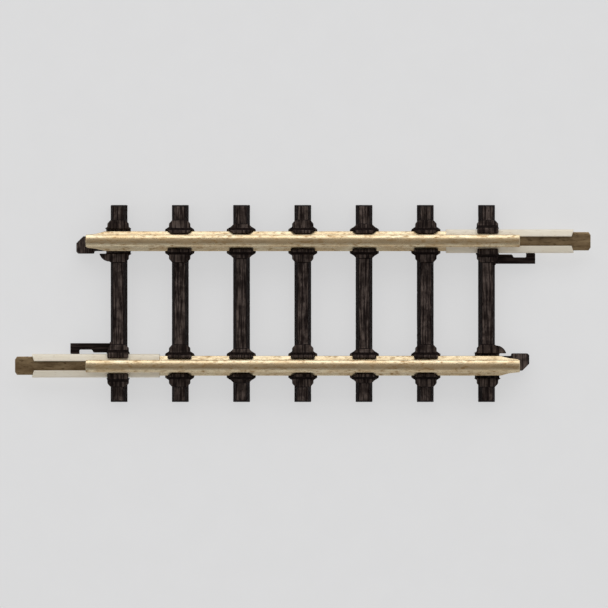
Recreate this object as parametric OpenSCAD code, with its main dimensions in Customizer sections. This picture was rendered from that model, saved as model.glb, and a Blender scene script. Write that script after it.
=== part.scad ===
// Straight Z gauge model track section with sliding rail joiners and flexing latch arms.
// Millimetres. +X runs along the rails, +Y points to the rear rail and +Z up.
// The origin is the middle of the surface that the sleepers stand on.
// The section looks the same after a half turn about Z: its right end has the joiner and
// the latch arm on the rear rail, and its left end has them on the front rail.

/* [Track] */
// Length between the two joint planes, where the rails meet the next section
section_len = 25; // [25:0.5:28]
// Clear distance between the two rail heads
gauge = 6.5; // [6.4:0.05:6.6]
// Number of sleepers
sleeper_count = 7; // [6:1:7]

/* [Sleepers] */
// Length of a sleeper, across the track
sleeper_len = 11.5; // [11:0.1:13]
// Width of a sleeper at its foot
sleeper_w = 1; // [0.9:0.05:1.1]
// Width of a sleeper's top face
sleeper_top_w = 0.6; // [0.4:0.05:0.8]
// Height of a sleeper, up to the foot of the rail
sleeper_h = 1.1; // [1.05:0.05:1.3]
// How far a long chair reaches out from the edge of the rail's foot
chair_reach = 0.65; // [0.5:0.05:0.8]

/* [Rails] */
// Height of the rail
rail_h = 1.5; // [1.4:0.05:1.7]
// Width of the rail's head
head_w = 0.72; // [0.6:0.02:0.8]
// Width of the rail's foot
foot_w = 1.15; // [1:0.05:1.2]
// Thickness of the rail's web
rail_web_w = 0.3; // [0.2:0.02:0.36]

/* [Rail joiners] */
// Whole length of a joiner, half of it on each section
joiner_len = 8.4; // [7:0.1:8.4]
// Thickness of the folded sheet
sheet_t = 0.09; // [0.06:0.01:0.1]
// Running clearance between the sheet and the rail's foot
joiner_gap = 0.02; // [0.01:0.01:0.03]
// Length of the flat tongue in front of the lips
tongue_len = 1; // [0.5:0.1:1.5]

/* [Latches] */
// How far the hook's tip passes the joint plane
latch_reach = 1; // [0.9:0.05:1.1]
// How far the lug under the bare rail end passes the joint plane
lug_reach = 0.65; // [0.5:0.05:0.8]
// How deep the hook grips behind the next section's lug
latch_grip = 0.12; // [0.05:0.01:0.15]

/* [Hidden] */

PLASTIC = [0.16, 0.13, 0.12];
RAIL_METAL = [0.80, 0.72, 0.58];
JOINER_METAL = [0.86, 0.78, 0.62];

ARC_STEPS = 6;   // flats in each of the joiner's bends
OVER = 1;        // how far a cutting shape runs past what it cuts

joint_x = section_len / 2;
pitch = section_len / sleeper_count;
rail_y = (gauge + head_w) / 2;

// Rail section, measured from the middle of the underside of the foot. The top of the
// foot slopes up from its edge to the fillet at the web.
foot_edge_t = 0.13;
foot_t = 0.2;
foot_fillet = 0.1;
fillet_y = rail_web_w / 2 + foot_fillet;
foot_slope = atan((foot_t - foot_edge_t) / (foot_w / 2 - fillet_y));
head_under = rail_h - 0.5;
head_side = rail_h - 0.4;
head_bevel = 0.1;
// The foot narrows at a bare rail end, so that a joiner finds its way on
lead_in = [[0.95, foot_w / 2], [0.65, 0.45], [0, 0.38]];
rail_end_bevel = 0.06;

// Joiner section, measured like the rail's. Its lips slope like the foot below them.
joiner_half_w = foot_w / 2 + joiner_gap + sheet_t;
joiner_low = -joiner_gap - sheet_t;
joiner_slot = 0.54;
joiner_bend_in = 0.04;
tongue_w = 1.07;
tongue_corner = 0.12;

// Levels above the ground
bed_low = 0.3;                                // underside of the beds, chairs and lugs
bed_top = sleeper_h + joiner_low - 0.05;      // a joiner slides just above this
cheek_top = sleeper_h + 0.12;                 // top of a chair beside the rail's foot
arm_top = bed_top - 0.06;

// Chairs, measured from the middle of the rail and of the sleeper
chair_half_w = 0.84;
seat_half_w = 0.7;                            // of the chairs that a joiner passes through
shoulder_half_w = 0.62;
shoulder_at = 0.25;
shoulder_slope = 0.2;
chair_tip_half_w = sleeper_w / 2 - 0.06;
short_reach = 0.42;
block_half_depth = 0.66;
nose_len = 1.4;
outer_nose_tip = 0.84;                        // length of a nose's tip, outside the track
inner_nose_tip = 1.25;
joiner_nose_len = 1.22;                       // of the noses that a joiner slides under
joiner_nose_tip = 1.1;
nose_taper = 1.3;
nose_grip = 0.15;
nose_t = 0.15;
nose_bevel = 0.05;
nose_slope = 0.22;                            // where its outer slope meets the chair
nose_root = 0.1;
seat_gap = 0.03;                              // clearance round a joiner
seat_half_depth = joiner_half_w + seat_gap;
bare_block_half_depth = seat_half_depth + 0.05;
gusset_r = 0.6;
gusset_x = 0.5;

// The beds that tie the sleepers together run under the rails
bed_w = 0.8;

// Latches, in plan. Distances across the track count from the middle of the rail, inwards.
arm_root_x = sleeper_x(sleeper_count) + sleeper_w / 2;
arm_tip_x = joint_x + latch_reach;
hook_len = 0.5;
notch_len = 0.8;
hook_corner = 0.12;
arm_inner = 1.3;
beam_t = 0.37;
lug_face = 0.71;                              // the face that a hook snaps over
hook_face = lug_face - latch_grip;
arm_block_face = lug_face + 0.05;
lug_neck_face = hook_face - 0.03;
lug_outer = 0.29;
lug_corner = 0.4;
lug_tip_bevel = 0.1;
lug_back_bevel = 0.04;
latch_play = 0.13;                            // along the track, between a hook and the lug
lug_bump_len = lug_reach + latch_reach - hook_len - latch_play;
boss_margin = 0.08;

function sleeper_x(i) = (i - (sleeper_count + 1) / 2) * pitch;

// A right half outline with its mirror image added
function both_halves(half) =
    concat(half, [for (i = [len(half) - 1:-1:0]) [-half[i][0], half[i][1]]]);

function arc(centre, r, from, to) = [
    for (k = [0:ARC_STEPS])
        let (turn = from + (to - from) * k / ARC_STEPS)
            centre + r * [cos(turn), sin(turn)]
];

// Height of a plane that runs parallel to the top of the foot, a distance above it
function over_foot(y, above) =
    foot_edge_t + (foot_w / 2 - y) * tan(foot_slope) + above / cos(foot_slope);

// Right half of the outline round the rail's foot, a distance outside it
function round_foot(outside, r) =
    let (bend_y = foot_w / 2 + outside - r)
        concat(
            arc([bend_y, r - outside], r, -90, 0),
            arc([bend_y, over_foot(bend_y, outside) - r / cos(foot_slope)], r, 0, 90 - foot_slope),
            [[joiner_slot / 4, over_foot(joiner_slot / 4, outside)]]
        );

// Height of the top of the space that a joiner slides through
function seat_top(y) = over_foot(y, joiner_gap + sheet_t + seat_gap);

// What a sleeper's rear chair is, by the sleeper's number. The front chair is the rear
// chair of the sleeper at the same place from the other end, turned by half a turn.
function rear_chair(i) =
    i == 1 ? "bare" :
    i == sleeper_count ? "joiner" :
    i % 2 == 0 ? "long" : "short";

function chair_half_width(kind) = (kind == "bare" || kind == "joiner") ? seat_half_w : chair_half_w;

module half_turn() {
    rotate([0, 0, 180]) children();
}

// Extrudes a section drawn in Y and Z along X, from x = from to x = to
module along_x(from, to) {
    translate([from, 0, 0]) rotate([90, 0, 90]) linear_extrude(to - from) children();
}

module both_sides() {
    children();
    mirror([0, 1, 0]) children();
}

// A box from its lowest to its highest corner
module box(low, high) {
    translate(low) cube(high - low);
}

// ---- Sleepers ----

module sleeper_bar() {
    draft = (sleeper_w - sleeper_top_w) / 4;
    intersection() {
        rotate([90, 0, 0]) linear_extrude(sleeper_len, center = true)
            polygon(both_halves([[sleeper_w / 2, 0], [sleeper_top_w / 2, sleeper_h]]));
        along_x(-sleeper_w, sleeper_w)
            polygon(both_halves([[sleeper_len / 2, 0], [sleeper_len / 2 - draft, sleeper_h]]));
    }
}

// Plan of a chair: wide beside the rail's foot, then stepping in to the sleeper's width
module chair_plan(half_w, reach) {
    edge = foot_w / 2;
    shoulder = min(shoulder_half_w, half_w);
    quarter_plan = [
        [half_w, 0],
        [half_w, edge + shoulder_at / 2],
        [shoulder, edge + shoulder_at],
        [shoulder, edge + max(shoulder_at, reach - shoulder_slope)],
        [chair_tip_half_w, edge + reach],
    ];
    both_sides() polygon(both_halves(quarter_plan));
}

// The rounded plate at a bare rail end, on the inner side of the rail
module gusset_plan() {
    corner = gusset_x + 2 * gusset_r;
    intersection() {
        translate([-gusset_x, -foot_w / 2]) circle(gusset_r, $fn = 48);
        translate([-corner, -corner]) square(corner);
    }
}

// The clip over the edge of the rail's foot, which narrows to its tip. It stands at root_y.
// The space under it is cut later, with the rest of the chair's gap.
module nose(tip_len, len, root_y, top) {
    tip_y = foot_w / 2 - nose_grip;
    translate([0, 0, sleeper_h]) intersection() {
        along_x(-len / 2, len / 2) polygon([
            [tip_y, 0],
            [tip_y, top - nose_bevel],
            [tip_y + nose_bevel, top],
            [root_y + nose_bevel, top],
            [root_y + nose_slope, nose_root],
            [root_y + nose_slope, 0],
        ]);
        translate([0, 0, -OVER]) linear_extrude(2 * OVER) polygon(both_halves([
            [tip_len / 2 + OVER * nose_taper, tip_y + OVER],
            [tip_len / 2 - nose_grip * nose_taper, tip_y - nose_grip],
        ]));
    }
}

// The noses over the foot of the rail
module rail_noses() {
    top = foot_t + nose_t;
    nose(outer_nose_tip, nose_len, foot_w / 2, top);
    mirror([0, 1, 0]) nose(inner_nose_tip, nose_len, foot_w / 2, top);
}

// The noses over the lips of a joiner
module joiner_noses() {
    top = seat_top(foot_w / 2 - nose_grip) + nose_t;
    both_sides() nose(joiner_nose_tip, joiner_nose_len, seat_half_depth, top);
}

// A rear chair, with its origin at the middle of the rail, on the ground
module chair(kind) {
    half_w = chair_half_width(kind);
    reach = kind == "short" ? short_reach : chair_reach;
    half_depth = kind == "bare" ? bare_block_half_depth : block_half_depth;
    box([-half_w, -half_depth, bed_low], [half_w, half_depth, bed_top]);
    translate([0, 0, bed_top]) linear_extrude(cheek_top - bed_top) {
        chair_plan(kind == "bare" ? chair_half_w : half_w, reach);
        if (kind == "bare") gusset_plan();
    }
    if (kind == "joiner") joiner_noses();
    if (kind == "short" || kind == "long") rail_noses();
}

// The space over a rear chair that belongs to the rail's foot, or to a joiner
module chair_gap(kind) {
    end_x = chair_half_w + OVER;
    if (kind == "bare")
        box([-end_x, -seat_half_depth, bed_top], [end_x, seat_half_depth, sleeper_h + rail_h]);
    else if (kind == "joiner")
        translate([0, 0, bed_top]) along_x(-end_x, end_x) polygon(both_halves([
            [seat_half_depth, 0],
            for (y = [seat_half_depth, joiner_slot / 2]) [y, sleeper_h - bed_top + seat_top(y)],
        ]));
    else
        translate([0, 0, sleeper_h]) along_x(-end_x, end_x)
            polygon(both_halves([[foot_w / 2, 0], [foot_w / 2, foot_edge_t], [fillet_y, foot_t]]));
}

// The upright face on the end sleeper that the latch arm grows from
module latch_boss() {
    box(
        [0, rail_y - arm_inner - boss_margin, bed_low - boss_margin],
        [sleeper_w / 2, rail_y - arm_block_face + boss_margin, bed_top]
    );
}

module at_rear_rail() {
    translate([0, rail_y, 0]) children();
}

module sleeper(i) {
    rear = rear_chair(i);
    front = rear_chair(sleeper_count + 1 - i);
    color(PLASTIC) translate([sleeper_x(i), 0, 0]) difference() {
        union() {
            sleeper_bar();
            at_rear_rail() chair(rear);
            half_turn() at_rear_rail() chair(front);
            if (i == sleeper_count) latch_boss();
            if (i == 1) half_turn() latch_boss();
        }
        at_rear_rail() chair_gap(rear);
        half_turn() at_rear_rail() chair_gap(front);
    }
}

// ---- Rail beds: the moulded strips under the rear rail, between the sleepers ----

module rail_bed() {
    color(PLASTIC) for (i = [1:sleeper_count - 1])
        box(
            [sleeper_x(i) + chair_half_width(rear_chair(i)), rail_y - bed_w / 2, bed_low],
            [sleeper_x(i + 1) - chair_half_width(rear_chair(i + 1)), rail_y + bed_w / 2, bed_top]
        );
}

// ---- Latches ----

// The arm beside the rear rail's joiner, at the right end
module latch_arm() {
    inner = rail_y - arm_inner;
    beam = inner + beam_t;
    block = rail_y - arm_block_face;
    hook = rail_y - hook_face;
    notch_to = arm_tip_x - hook_len;
    notch_from = notch_to - notch_len;
    color(PLASTIC) translate([0, 0, bed_low]) linear_extrude(arm_top - bed_low)
        polygon([
            [arm_root_x, inner],
            [arm_tip_x, inner],
            [arm_tip_x, hook - hook_corner],
            [arm_tip_x - hook_corner, hook],
            [notch_to + hook_corner / 2, hook],
            [notch_to, hook - hook_corner / 2],
            [notch_to, beam],
            [notch_from + hook_corner / 2, beam],
            [notch_from, beam + hook_corner / 2],
            [notch_from, block - hook_corner / 2],
            [notch_from - hook_corner / 2, block],
            [arm_root_x, block],
        ]);
}

// The lug under the rear rail's bare end, at the left end
module end_lug() {
    root = sleeper_x(1) - seat_half_w;
    tip = -joint_x - lug_reach;
    color(PLASTIC) translate([0, rail_y, bed_low]) linear_extrude(bed_top - bed_low)
        polygon([
            [root, -lug_neck_face],
            [tip + lug_bump_len, -lug_neck_face],
            [tip + lug_bump_len, -lug_face + lug_back_bevel],
            [tip + lug_bump_len - lug_back_bevel, -lug_face],
            [tip + lug_tip_bevel, -lug_face],
            [tip, -lug_face + lug_tip_bevel],
            [tip, lug_outer - lug_corner],
            [tip + lug_corner, lug_outer],
            [root, lug_outer],
        ]);
}

// ---- Rails ----

module rail_section() {
    polygon(both_halves([
        [foot_w / 2, 0],
        [foot_w / 2, foot_edge_t],
        [fillet_y, foot_t],
        [rail_web_w / 2, foot_t + foot_fillet],
        [rail_web_w / 2, head_under],
        [head_w / 2, head_side],
        [head_w / 2, rail_h - head_bevel],
        [head_w / 2 - head_bevel, rail_h],
    ]));
}

// What is cut from one side of the foot at the rear rail's bare end, at the left
module lead_in_cut() {
    translate([-joint_x, 0, -OVER]) linear_extrude(OVER + foot_t + foot_fillet / 2)
        polygon(concat(lead_in, [[-OVER, lead_in[2][1]], [-OVER, foot_w], [lead_in[0][0], foot_w]]));
}

module rail_end_bevel_cut() {
    translate([joint_x, 0, rail_h]) rotate([0, 45, 0])
        cube([rail_end_bevel * sqrt(2), head_w + OVER, rail_end_bevel * sqrt(2)], center = true);
}

module rail() {
    color(RAIL_METAL) translate([0, rail_y, sleeper_h]) difference() {
        along_x(-joint_x, joint_x) rail_section();
        both_sides() lead_in_cut();
        rail_end_bevel_cut();
        half_turn() rail_end_bevel_cut();
    }
}

// ---- Rail joiners: a folded sheet that slides along the foot of the rail ----

module joiner_section() {
    difference() {
        polygon(both_halves(round_foot(joiner_gap + sheet_t, joiner_bend_in + sheet_t)));
        polygon(both_halves(round_foot(joiner_gap, joiner_bend_in)));
        translate([-joiner_slot / 2, foot_t]) square([joiner_slot, OVER]);
    }
}

// Everything in front of the lips that isn't the flat tongue
module tongue_cut(lips_end, tip) {
    difference() {
        box([lips_end, -OVER, -OVER], [tip + OVER, OVER, OVER]);
        translate([0, 0, -2 * OVER]) linear_extrude(2 * OVER) polygon([
            [lips_end - OVER, -tongue_w / 2],
            [tip - tongue_corner, -tongue_w / 2],
            [tip, -tongue_w / 2 + tongue_corner],
            [tip, tongue_w / 2 - tongue_corner],
            [tip - tongue_corner, tongue_w / 2],
            [lips_end - OVER, tongue_w / 2],
        ]);
    }
}

// The joiner on the rear rail, at the right end
module joiner() {
    tip = joiner_len / 2;
    color(JOINER_METAL) translate([joint_x, rail_y, sleeper_h]) difference() {
        along_x(-tip, tip) joiner_section();
        tongue_cut(tip - tongue_len, tip);
    }
}

for (i = [1:sleeper_count])
    sleeper(i);
rail_bed();  // rail_bed_rear
half_turn() rail_bed();  // rail_bed_front
end_lug();  // end_lug_left
half_turn() end_lug();  // end_lug_right
half_turn() latch_arm();  // latch_arm_left
latch_arm();  // latch_arm_right
rail();  // rail_rear
half_turn() rail();  // rail_front
half_turn() joiner();  // joiner_left
joiner();  // joiner_right
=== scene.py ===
"""The looks of a straight model track section: two drawn metal rails in one dark plastic moulding,
with a folded sheet joiner and a flexing latch arm at each end.

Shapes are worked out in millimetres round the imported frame, and turned into metres at the end.
"""

import math

import bmesh
import bpy
from mathutils import Matrix, Vector, noise


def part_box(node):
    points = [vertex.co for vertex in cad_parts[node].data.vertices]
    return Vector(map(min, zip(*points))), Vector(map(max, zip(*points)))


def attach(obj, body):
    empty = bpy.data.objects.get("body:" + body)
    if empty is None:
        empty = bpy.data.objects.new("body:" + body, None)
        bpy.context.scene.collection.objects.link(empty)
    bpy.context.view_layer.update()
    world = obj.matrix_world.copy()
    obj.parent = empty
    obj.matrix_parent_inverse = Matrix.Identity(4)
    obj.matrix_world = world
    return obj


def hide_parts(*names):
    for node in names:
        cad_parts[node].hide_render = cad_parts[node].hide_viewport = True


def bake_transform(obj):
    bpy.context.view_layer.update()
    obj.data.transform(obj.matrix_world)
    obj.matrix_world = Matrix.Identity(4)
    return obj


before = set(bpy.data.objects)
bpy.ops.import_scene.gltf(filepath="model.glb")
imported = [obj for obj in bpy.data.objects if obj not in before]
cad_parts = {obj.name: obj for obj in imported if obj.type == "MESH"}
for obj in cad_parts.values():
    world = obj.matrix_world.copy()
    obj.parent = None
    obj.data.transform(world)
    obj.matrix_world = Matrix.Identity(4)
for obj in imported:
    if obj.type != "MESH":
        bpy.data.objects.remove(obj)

MM = 0.001
HALF_TURN = Matrix.Rotation(math.pi, 4, "Z")
NEARLY_STRAIGHT = math.radians(88)

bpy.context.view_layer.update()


def box_mm(node):
    """Lowest and highest corner of a CAD node, in millimetres."""
    low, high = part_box(node)
    return low / MM, high / MM


# ---- Sizes, in millimetres ----

rail_low, rail_high = box_mm("rail_rear")
RAIL_Y = (rail_low.y + rail_high.y) / 2
FOOT_HALF = (rail_high.y - rail_low.y) / 2
FOOT_Z = rail_low.z
RAIL_H = rail_high.z - rail_low.z
JOINT_X = rail_high.x

# Rail section, measured from the middle of the underside of the foot
FOOT_EDGE_T = 0.13
FOOT_TOP_SLOPE = 0.215
WEB_HALF = 0.15
HEAD_HALF = 0.36
HEAD_UNDER = 1.0
HEAD_SIDE = 1.1
CROWN_DROP = 0.09
CROWN_ACROSS = (0.24, 0.16, 0.08)

# The radii of its edges
FOOT_LOWER_R = 0.03
FOOT_UPPER_R = 0.04
WEB_FOOT_R = 0.08
WEB_HEAD_R = 0.06
HEAD_LOWER_R = 0.03
HEAD_UPPER_R = 0.08
RAIL_END_R = 0.025

# (distance from the bare end, half width of the foot) where the foot narrows
LEAD_IN = ((0.0, 0.38), (0.65, 0.45), (0.95, FOOT_HALF))
RAIL_STEPS = 100
END_STEPS = 4

# Joiner section, along the middle of the sheet
joiner_low, joiner_high = box_mm("joiner_right")
JOINER_TIP_X = joiner_high.x
JOINER_BACK_X = joiner_low.x
SHEET_T = 0.09
SHEET_MID = SHEET_T / 2
BEND_R = 0.04 + SHEET_MID
JOINER_GAP = 0.02
JOINER_HALF = (joiner_high.y - joiner_low.y) / 2 - SHEET_MID
JOINER_BASE_Z = joiner_low.z + SHEET_MID
SLOT_HALF = 0.27
TONGUE_LEN = 1.0
TONGUE_HALF = 0.535
TONGUE_CORNER = 0.12
LIP_CUT_BACK = 0.35
SHEET_EDGE_R = 0.02
WELD_GAP = 0.002

# The sheet's grid
FLOOR_ACROSS = (0, 0.18, 0.36, TONGUE_HALF)
BEND_STEPS = 6
LIP_STEPS = 4
BODY_STEPS = 48
TONGUE_STEPS = 8
ROUNDING = 1e-6

# The moulding's skin
VOXEL = 0.03
SKIN_ROUNDS = 4
SKIN_KEEP = 0.3
CORNER_WELD = 0.0005

# The grain cut into a sleeper: it fades out beside a chair
GRAIN_DEPTH = 0.035
GRAIN_SPOTS_PER_MM = (9, 0.55, 9)
GRAIN_OCTAVES = 4
OCTAVE_FINER = 2.1
OCTAVE_FADE = 0.6
CRACK_HALF = 0.12
CHAIR_REACH = 0.45
GRAIN_FADE = 0.3

# The room's light from the front and from the rear
FRONT_SKY = 0.27
REAR_SKY = 0.44


# ---- Mesh helpers ----

def arc(centre, radius, start, end, steps):
    """Points along an arc from start to end, in degrees."""
    turns = [math.radians(start + (end - start) * k / steps) for k in range(steps + 1)]
    return [centre + radius * Vector((math.cos(t), math.sin(t))) for t in turns]


def rounded(corners, steps=4):
    """A closed outline from (across, up, radius) corners. A nearly straight one stays a point."""
    outline = []
    count = len(corners)
    for k, (across, up, radius) in enumerate(corners):
        corner = Vector((across, up))
        back = (Vector(corners[k - 1][:2]) - corner).normalized()
        on = (Vector(corners[(k + 1) % count][:2]) - corner).normalized()
        half = back.angle(on) / 2
        if radius == 0 or half > NEARLY_STRAIGHT:
            outline.append(corner)
            continue
        centre = corner + (back + on).normalized() * radius / math.sin(half)
        first = corner + back * radius / math.tan(half) - centre
        last = corner + on * radius / math.tan(half) - centre
        start = math.degrees(math.atan2(first.y, first.x))
        turn = math.degrees(math.atan2(last.y, last.x)) - start
        turn = (turn + 180) % 360 - 180
        outline += arc(centre, radius, start, start + turn, steps)
    return outline


def inset(outline, depth):
    """The outline moved inwards all round. It runs anticlockwise, and sharp corners move less."""
    moved = []
    count = len(outline)
    for k, point in enumerate(outline):
        before = (point - outline[k - 1]).normalized()
        after = (outline[(k + 1) % count] - point).normalized()
        side = Vector((-before.y, before.x))
        normal = (side + Vector((-after.y, after.x))).normalized()
        moved.append(point + normal * depth / max(0.5, normal.dot(side)))
    return moved


def loft(rings):
    """A closed mesh through rings of points, with a face across each end."""
    bm = bmesh.new()
    rows = [[bm.verts.new(point) for point in ring] for ring in rings]
    count = len(rows[0])
    for row, following in zip(rows, rows[1:]):
        for k in range(count):
            j = (k + 1) % count
            bm.faces.new((row[k], row[j], following[j], following[k]))
    bm.faces.new(rows[0])
    bm.faces.new(rows[-1])
    bmesh.ops.recalc_face_normals(bm, faces=bm.faces)
    return bm


def new_piece(name, bm):
    """An object from a mesh in millimetres."""
    mesh = bpy.data.meshes.new(name)
    bm.to_mesh(mesh)
    bm.free()
    piece = bpy.data.objects.new(name, mesh)
    bpy.context.scene.collection.objects.link(piece)
    return piece


def add_modifier(piece, kind, **settings):
    """Adds a modifier and sets it up."""
    modifier = piece.modifiers.new(kind.lower(), kind)
    for name, value in settings.items():
        setattr(modifier, name, value)


def settle(piece):
    """Applies the piece's modifiers."""
    graph = bpy.context.evaluated_depsgraph_get()
    mesh = bpy.data.meshes.new_from_object(piece.evaluated_get(graph))
    piece.modifiers.clear()
    piece.data = mesh


def finish_piece(piece, body, node, slot, *materials):
    """Turns a piece into metres and, if it has a body, hands it to the frame."""
    piece.data.transform(Matrix.Scale(MM, 4))
    for material in materials:
        piece.data.materials.append(material)
    piece.data.shade_smooth()
    if body:
        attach(piece, body)
    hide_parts(node)
    return piece


# ---- Materials ----

def add_node(tree, kind, settings=None, **inputs):
    """Adds a node. An input's name has _ for a space, and it takes a value or a node's output."""
    made = tree.nodes.new(kind)
    for name, value in (settings or {}).items():
        setattr(made, name, value)
    for name, value in inputs.items():
        join(tree, value, made.inputs[name.replace("_", " ")])
    return made


def join(tree, value, socket):
    """Links a node's output to a socket, or sets a value on the socket itself."""
    if isinstance(value, bpy.types.NodeSocket):
        tree.links.new(value, socket)
    else:
        socket.default_value = value


def mix_colours(tree, factor, first, second):
    """Goes from the first colour to the second. The node's sockets 6, 7 and 2 are its colours."""
    made = add_node(tree, "ShaderNodeMix", {"data_type": "RGBA"})
    join(tree, factor, made.inputs[0])
    join(tree, first, made.inputs[6])
    join(tree, second, made.inputs[7])
    return made.outputs[2]


def ramp(tree, value, low, high, low_out=0.0, high_out=1.0):
    """A value eased from low_out to high_out as another goes from low to high."""
    made = add_node(
        tree, "ShaderNodeMapRange", {"interpolation_type": "SMOOTHSTEP"},
        Value=value, From_Min=low, From_Max=high, To_Min=low_out, To_Max=high_out,
    )
    return made.outputs["Result"]


def speckle(tree, size, detail=3.0, rough=0.55):
    """Noise whose features are size millimetres long in X, Y and Z."""
    place = add_node(tree, "ShaderNodeTexCoord").outputs["Object"]
    scale = [1 / (MM * s) for s in size]
    stretched = add_node(tree, "ShaderNodeMapping", Vector=place, Scale=scale)
    made = add_node(
        tree, "ShaderNodeTexNoise",
        Vector=stretched.outputs["Vector"], Scale=1.0, Detail=detail, Roughness=rough,
    )
    return made.outputs["Fac"]


def bump(tree, height, depth, before=None):
    """A normal from a height, depth millimetres deep."""
    made = add_node(tree, "ShaderNodeBump", Height=height, Distance=depth * MM, Strength=1.0)
    if before:
        join(tree, before, made.inputs["Normal"])
    return made.outputs["Normal"]


def new_material(name, **values):
    """A material with its node tree and its shader, which takes values for its own sockets."""
    material = bpy.data.materials.new(name)
    material.use_nodes = True
    shader = material.node_tree.nodes["Principled BSDF"]
    for socket, value in values.items():
        shader.inputs[socket.replace("_", " ")].default_value = value
    return material, material.node_tree, shader


def facing_up(tree, low, high):
    """1 where the surface faces up, 0 where it is steep."""
    normal = add_node(tree, "ShaderNodeNewGeometry").outputs["Normal"]
    up = add_node(tree, "ShaderNodeSeparateXYZ", Vector=normal).outputs["Z"]
    return ramp(tree, up, low, high)


def times(tree, first, second):
    made = add_node(tree, "ShaderNodeMath", {"operation": "MULTIPLY"})
    join(tree, first, made.inputs[0])
    join(tree, second, made.inputs[1])
    return made.outputs["Value"]


BLACK_BROWN = (0.004, 0.002, 0.002)
DARK_BROWN = (0.020, 0.012, 0.010)
# Colours of the painted top light on surfaces that face up
TOP_LIGHT_BROWN = (0.022, 0.014, 0.012)
TOP_LIGHT_PALE = (0.15, 0.115, 0.10)


def plastic_material(name, grain_size, top_light):
    """Dark brown moulded plastic, with wood grain along one way and a fine spark-eroded skin. Its
    tops are painted pale as painted top light, by top_light at most, and its sides stay nearly black."""
    material, tree, shader = new_material(name, Specular_IOR_Level=0.08)
    grain = speckle(tree, grain_size, detail=4.0)
    cloud = speckle(tree, (0.5, 0.5, 0.5))
    skin = speckle(tree, (0.03, 0.03, 0.03), detail=2.0)
    top = facing_up(tree, 0.6, 0.97)
    # Painted top light: surfaces facing up are painted paler, in patches
    lit_top = times(tree, top, ramp(tree, cloud, 0.35, 0.65, 0.3 * top_light, top_light))
    brown = mix_colours(tree, ramp(tree, grain, 0.35, 0.7), (*BLACK_BROWN, 1), (*DARK_BROWN, 1))
    pale = mix_colours(tree, ramp(tree, grain, 0.4, 0.62), (*TOP_LIGHT_BROWN, 1), (*TOP_LIGHT_PALE, 1))
    join(tree, mix_colours(tree, lit_top, brown, pale), shader.inputs["Base Color"])
    join(tree, ramp(tree, lit_top, 0.0, 1.0, 0.85, 0.5), shader.inputs["Roughness"])
    join(tree, bump(tree, skin, 0.004, bump(tree, grain, 0.012)), shader.inputs["Normal"])
    return material


def drawn_metal(name, pale, dark, tarnish, tarnished_share, rough, metallic=1.0, brown_top=0.0):
    """Drawn or rolled metal, with fine lines along the track and soft patches of tarnish. Its level
    top is browned by brown_top at most: partly tarnish, partly a painted dark reflection."""
    material, tree, shader = new_material(name, Metallic=metallic)
    lines = speckle(tree, (3.0, 0.035, 0.035), detail=2.0)
    cloud = speckle(tree, (1.6, 0.5, 0.5), detail=4.0, rough=0.6)
    spots = speckle(tree, (0.35, 0.12, 0.12), detail=3.0, rough=0.6)
    clean = mix_colours(tree, ramp(tree, cloud, 0.3, 0.7), (*pale, 1), (*dark, 1))
    patch = ramp(tree, spots, 0.57 - tarnished_share, 0.86 - tarnished_share)
    colour = mix_colours(tree, patch, clean, (*tarnish, 1))
    # The browned top: a band down the head, partly tarnish and partly a painted dark reflection
    top = facing_up(tree, 0.97, 0.995)
    browned = times(tree, top, ramp(tree, cloud, 0.35, 0.6, brown_top, 0.4 * brown_top))
    join(tree, mix_colours(tree, browned, colour, (*tarnish, 1)), shader.inputs["Base Color"])
    join(tree, ramp(tree, spots, 0.35, 0.7, rough, rough + 0.14), shader.inputs["Roughness"])
    join(tree, bump(tree, spots, 0.004, bump(tree, lines, 0.0015)), shader.inputs["Normal"])
    return material


# top_light sets how much painted top light the tops get
SLEEPER_PLASTIC = plastic_material("sleeper_plastic", grain_size=(0.09, 1.6, 0.09), top_light=0.9)
BED_PLASTIC = plastic_material("bed_plastic", grain_size=(1.6, 0.09, 0.09), top_light=0.15)
RAIL_METAL = drawn_metal(
    "rail_metal", pale=(0.84, 0.72, 0.50), dark=(0.68, 0.51, 0.30), tarnish=(0.37, 0.22, 0.09),
    tarnished_share=0.09, rough=0.27, brown_top=0.7,
)
JOINER_METAL = drawn_metal(
    "joiner_metal", pale=(0.98, 0.91, 0.77), dark=(0.95, 0.86, 0.70), tarnish=(0.66, 0.55, 0.40),
    tarnished_share=0.0, rough=0.45, metallic=0.25,
)
# A darker copy of the joiner metal for the inside faces: painted shade in the slot and on the tongue,
# with brown tarnish
JOINER_INSIDE_SHADE_AND_TARNISH = drawn_metal(
    "joiner_inside_shade_and_tarnish", pale=(0.38, 0.27, 0.15), dark=(0.19, 0.125, 0.065), tarnish=(0.08, 0.05, 0.025),
    tarnished_share=0.08, rough=0.42,
)


# ---- The plastic moulding ----

def cad_copy(node):
    """A CAD node's mesh in millimetres, with its split corners joined."""
    bm = bmesh.new()
    bm.from_mesh(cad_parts[node].data)
    bmesh.ops.transform(bm, matrix=Matrix.Scale(1 / MM, 4), verts=bm.verts)
    bmesh.ops.remove_doubles(bm, verts=bm.verts, dist=CORNER_WELD)
    return bm


def carve_grain(piece):
    """Wood grain along the sleeper, sunk into its bar but not into its chairs."""
    normals = [vertex.normal.copy() for vertex in piece.data.vertices]
    for vertex, normal in zip(piece.data.vertices, normals):
        from_rail = abs(abs(vertex.co.y) - RAIL_Y)
        bare = min(1.0, max(0.0, (from_rail - FOOT_HALF - CHAIR_REACH) / GRAIN_FADE))
        spot = Vector(place * per_mm for place, per_mm in zip(vertex.co, GRAIN_SPOTS_PER_MM))
        line = noise.fractal(spot, OCTAVE_FADE, OCTAVE_FINER, GRAIN_OCTAVES)
        crack = max(0.0, CRACK_HALF - abs(line)) / CRACK_HALF
        vertex.co -= normal * GRAIN_DEPTH * bare * crack


def keep_inside(piece, low, high):
    """Moves what smoothing left outside the box from low to high onto its sides."""
    for vertex in piece.data.vertices:
        limits = zip(vertex.co, low, high)
        vertex.co = [min(max(place, least), most) for place, least, most in limits]


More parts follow.
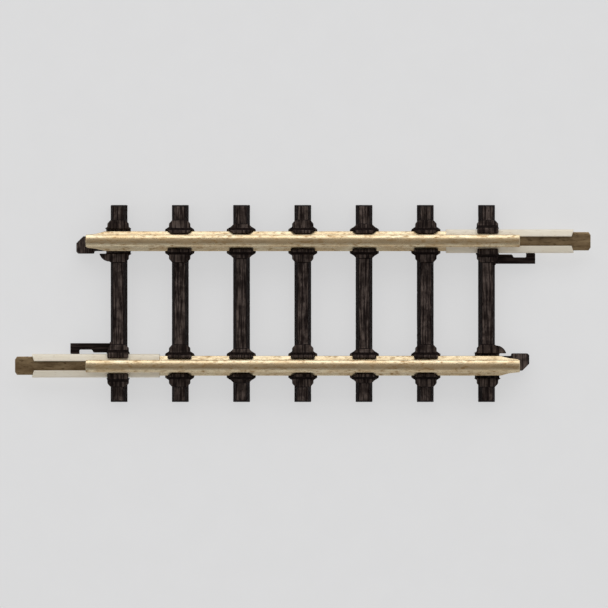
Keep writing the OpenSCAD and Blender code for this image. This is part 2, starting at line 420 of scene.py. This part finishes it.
def moulded(node, body, material, grained=False):
    """A CAD node of the moulding with the soft edges and corners of moulded plastic."""
    piece = new_piece(f"{node}_moulded", cad_copy(node))
    add_modifier(piece, "REMESH", mode="VOXEL", voxel_size=VOXEL)
    add_modifier(piece, "SMOOTH", factor=0.5, iterations=SKIN_ROUNDS)
    settle(piece)
    if grained:
        carve_grain(piece)
    add_modifier(piece, "DECIMATE", ratio=SKIN_KEEP)
    settle(piece)
    keep_inside(piece, *box_mm(node))
    return finish_piece(piece, body, node, "sleeper_plastic", material)


# ---- Rails ----

def foot_half_at(from_bare_end):
    """Half width of the foot, which narrows at the bare end of the rail."""
    for (near, narrow), (far, wide) in zip(LEAD_IN, LEAD_IN[1:]):
        if from_bare_end < far:
            return narrow + (wide - narrow) * max(0.0, from_bare_end - near) / (far - near)
    return FOOT_HALF


def rail_outline(foot_half):
    """The rail's section as (across, up) points, with a foot of that half width."""
    foot_top = FOOT_EDGE_T + (FOOT_HALF - foot_half) * FOOT_TOP_SLOPE
    web_foot = FOOT_EDGE_T + (FOOT_HALF - WEB_HALF) * FOOT_TOP_SLOPE
    crown_r = (HEAD_HALF**2 + CROWN_DROP**2) / (2 * CROWN_DROP)
    half = [
        (foot_half, 0, FOOT_LOWER_R),
        (foot_half, foot_top, FOOT_UPPER_R),
        (WEB_HALF, web_foot, WEB_FOOT_R),
        (WEB_HALF, HEAD_UNDER, WEB_HEAD_R),
        (HEAD_HALF, HEAD_SIDE, HEAD_LOWER_R),
        (HEAD_HALF, RAIL_H - CROWN_DROP, HEAD_UPPER_R),
    ]
    for across in CROWN_ACROSS:
        half.append((across, RAIL_H - crown_r + math.sqrt(crown_r**2 - across**2), 0))
    other_half = [(-across, up, radius) for across, up, radius in reversed(half)]
    return rounded(half + [(0, RAIL_H, 0)] + other_half)


def rail_rings():
    """Rings along the rear rail, from its bare end at the left to its joined end."""
    quarter = [math.radians(90 * k / END_STEPS) for k in range(END_STEPS + 1)]
    ends = [(RAIL_END_R * (1 - math.sin(t)), RAIL_END_R * (1 - math.cos(t))) for t in quarter]
    stations = [(-JOINT_X + along, depth) for along, depth in reversed(ends)]
    span = 2 * (JOINT_X - RAIL_END_R)
    stations += [
        (-JOINT_X + RAIL_END_R + span * k / RAIL_STEPS, 0.0) for k in range(1, RAIL_STEPS)
    ]
    stations += [(JOINT_X - along, depth) for along, depth in ends]
    rings = []
    for x, depth in stations:
        outline = inset(rail_outline(foot_half_at(x + JOINT_X)), depth)
        rings.append([(x, RAIL_Y + point.x, FOOT_Z + point.y) for point in outline])
    return rings


def rail(node, turned):
    """A rail with a crowned head. The front rail is the rear rail turned by half a turn."""
    bm = loft(rail_rings())
    if turned:
        bm.transform(HALF_TURN)
    piece = new_piece(f"{node}_drawn", bm)
    return finish_piece(piece, "track", node, "rail_metal", RAIL_METAL)


# ---- Joiners ----

def sheet_path():
    """The middle of the sheet as (y, z) points, from one lip's edge round the foot to the other's."""
    bend_y = JOINER_HALF - BEND_R
    slope = math.degrees(math.atan(FOOT_TOP_SLOPE))
    lip_z = FOOT_Z + FOOT_EDGE_T + JOINER_GAP + SHEET_MID
    upper_z = lip_z + (FOOT_HALF - bend_y) * FOOT_TOP_SLOPE - BEND_R / math.cos(math.radians(slope))
    half = [Vector((y, JOINER_BASE_Z)) for y in FLOOR_ACROSS]
    half += arc(Vector((bend_y, JOINER_BASE_Z + BEND_R)), BEND_R, -90, 0, BEND_STEPS)
    half += arc(Vector((bend_y, upper_z)), BEND_R, 0, 90 - slope, BEND_STEPS)
    lip_start = half[-1]
    for k in range(1, LIP_STEPS + 1):
        y = lip_start.x + (SLOT_HALF - lip_start.x) * k / LIP_STEPS
        half.append(Vector((y, lip_start.y + (lip_start.x - y) * FOOT_TOP_SLOPE)))
    return [Vector((-p.x, p.y)) for p in reversed(half[1:])] + half


def joiner_front(y, z):
    """How far forward the sheet runs before the tongue: the lips are cut back towards the slot."""
    lips_end = JOINER_TIP_X - TONGUE_LEN
    if z < FOOT_Z + FOOT_EDGE_T:
        return lips_end
    return lips_end - LIP_CUT_BACK * max(0.0, JOINER_HALF - abs(y))


def tongue_tip(y):
    """How far forward the tongue runs, with its rounded corners."""
    into_corner = max(0.0, abs(y) - (TONGUE_HALF - TONGUE_CORNER))
    return JOINER_TIP_X - TONGUE_CORNER + math.sqrt(max(0.0, TONGUE_CORNER**2 - into_corner**2))


def joiner(node, turned):
    """A folded sheet: a flat grid bent round the foot, then thickened."""
    bm = bmesh.new()
    columns = []
    for across, up in sheet_path():
        front = joiner_front(across, up)
        length = front - JOINER_BACK_X
        stations = [JOINER_BACK_X + length * k / BODY_STEPS for k in range(BODY_STEPS + 1)]
        if up <= JOINER_BASE_Z + ROUNDING and abs(across) <= TONGUE_HALF + ROUNDING:
            length = tongue_tip(across) - front
            stations += [front + length * k / TONGUE_STEPS for k in range(1, TONGUE_STEPS + 1)]
        columns.append([bm.verts.new((x, RAIL_Y + across, up)) for x in stations])
    for column, following in zip(columns, columns[1:]):
        for k in range(min(len(column), len(following)) - 1):
            bm.faces.new((column[k], column[k + 1], following[k + 1], following[k]))
    if turned:
        bm.transform(HALF_TURN)
    piece = new_piece(f"{node}_folded", bm)
    add_modifier(
        piece, "SOLIDIFY", thickness=SHEET_T, offset=0.0, use_even_offset=True,
        material_offset=1, material_offset_rim=1,
    )
    add_modifier(
        piece, "BEVEL", width=SHEET_EDGE_R, segments=2,
        limit_method="ANGLE", angle_limit=math.radians(50),
    )
    add_modifier(piece, "WELD", merge_threshold=WELD_GAP)
    # The inside faces take the darker copy: painted shade, with brown tarnish
    piece.data.materials.append(JOINER_INSIDE_SHADE_AND_TARNISH)
    piece.data.materials.append(JOINER_METAL)
    settle(piece)
    return finish_piece(piece, node, node, "joiner_metal")


# ---- Floor, light and camera ----

def floor():
    """A pale card. It glows a little, so that the shadows on it stay faint."""
    card_grey = (0.215, 0.215, 0.217, 1)
    fibre_grey = (0.225, 0.225, 0.227, 1)
    glow = (0.995, 0.995, 1.0, 1)
    half_side = 2000
    below_sleepers = 0.01
    material, tree, shader = new_material(
        "floor_card", Roughness=0.9, Emission_Color=glow, Emission_Strength=0.56
    )
    fibre = ramp(tree, speckle(tree, (2.0, 2.0, 2.0)), 0.3, 0.7)
    join(tree, mix_colours(tree, fibre, card_grey, fibre_grey), shader.inputs["Base Color"])
    bm = bmesh.new()
    bmesh.ops.create_grid(bm, x_segments=8, y_segments=8, size=half_side)
    piece = new_piece("floor", bm)
    piece.data.transform(Matrix.Scale(MM, 4))
    piece.data.materials.append(material)
    piece.location.z = -below_sleepers * MM


def softbox(name, place, size, power):
    """An area light that looks at the middle of the track. Its place and size are in millimetres, and
    its power is in watts."""
    light = bpy.data.lights.new(name, "AREA")
    light.shape = "RECTANGLE"
    light.size, light.size_y = (side * MM for side in size)
    light.energy = power
    lamp = bpy.data.objects.new(name, light)
    lamp.location = Vector(place) * MM
    lamp.rotation_euler = lamp.location.to_track_quat("Z", "Y").to_euler()
    lamp.visible_camera = False
    bpy.context.scene.collection.objects.link(lamp)


def studio():
    """Soft light, most of it from the rear, and a room that is darker in front."""
    world = bpy.data.worlds.new("studio")
    world.use_nodes = True
    background = world.node_tree.nodes["Background"]
    background.inputs["Color"].default_value = (1.0, 1.0, 1.0, 1)
    place = add_node(world.node_tree, "ShaderNodeTexCoord").outputs["Generated"]
    toward_rear = add_node(world.node_tree, "ShaderNodeSeparateXYZ", Vector=place).outputs["Y"]
    sky = ramp(world.node_tree, toward_rear, -0.6, 0.6, FRONT_SKY, REAR_SKY)
    join(world.node_tree, sky, background.inputs["Strength"])
    bpy.context.scene.world = world
    softbox("rear_softbox", place=(0, 170, 170), size=(340, 140), power=0.205)
    softbox("front_softbox", place=(0, -180, 150), size=(340, 110), power=0.045)
    softbox("left_softbox", place=(-230, 0, 120), size=(120, 200), power=0.045)
    softbox("right_softbox", place=(230, 0, 120), size=(120, 200), power=0.045)
    bpy.context.scene.view_settings.view_transform = "Standard"


def camera():
    """Straight down on the track, with a long lens."""
    picture_across = 35.27
    off_centre = (0.07, -0.03)
    data = bpy.data.cameras.new("camera")
    data.lens = 200
    data.sensor_width = 36
    distance = picture_across * data.lens / data.sensor_width
    eye = bpy.data.objects.new("camera", data)
    eye.location = Vector((*off_centre, distance + FOOT_Z)) * MM
    data.clip_start = 0.01
    data.clip_end = 10
    bpy.context.scene.collection.objects.link(eye)
    bpy.context.scene.camera = eye


# ---- The whole section ----

for name in sorted(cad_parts):
    if name.startswith("sleeper_"):
        moulded(name, "track", SLEEPER_PLASTIC, grained=True)
for name in ("end_lug_left", "end_lug_right"):
    moulded(name, "track", SLEEPER_PLASTIC)
for name in ("rail_bed_rear", "rail_bed_front"):
    moulded(name, "track", BED_PLASTIC)
for side in ("left", "right"):
    arm = moulded(f"latch_arm_{side}", None, BED_PLASTIC)
    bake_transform(arm)
rail("rail_rear", turned=False)
rail("rail_front", turned=True)
joiner("joiner_right", turned=False)
joiner("joiner_left", turned=True)
floor()
studio()
camera()
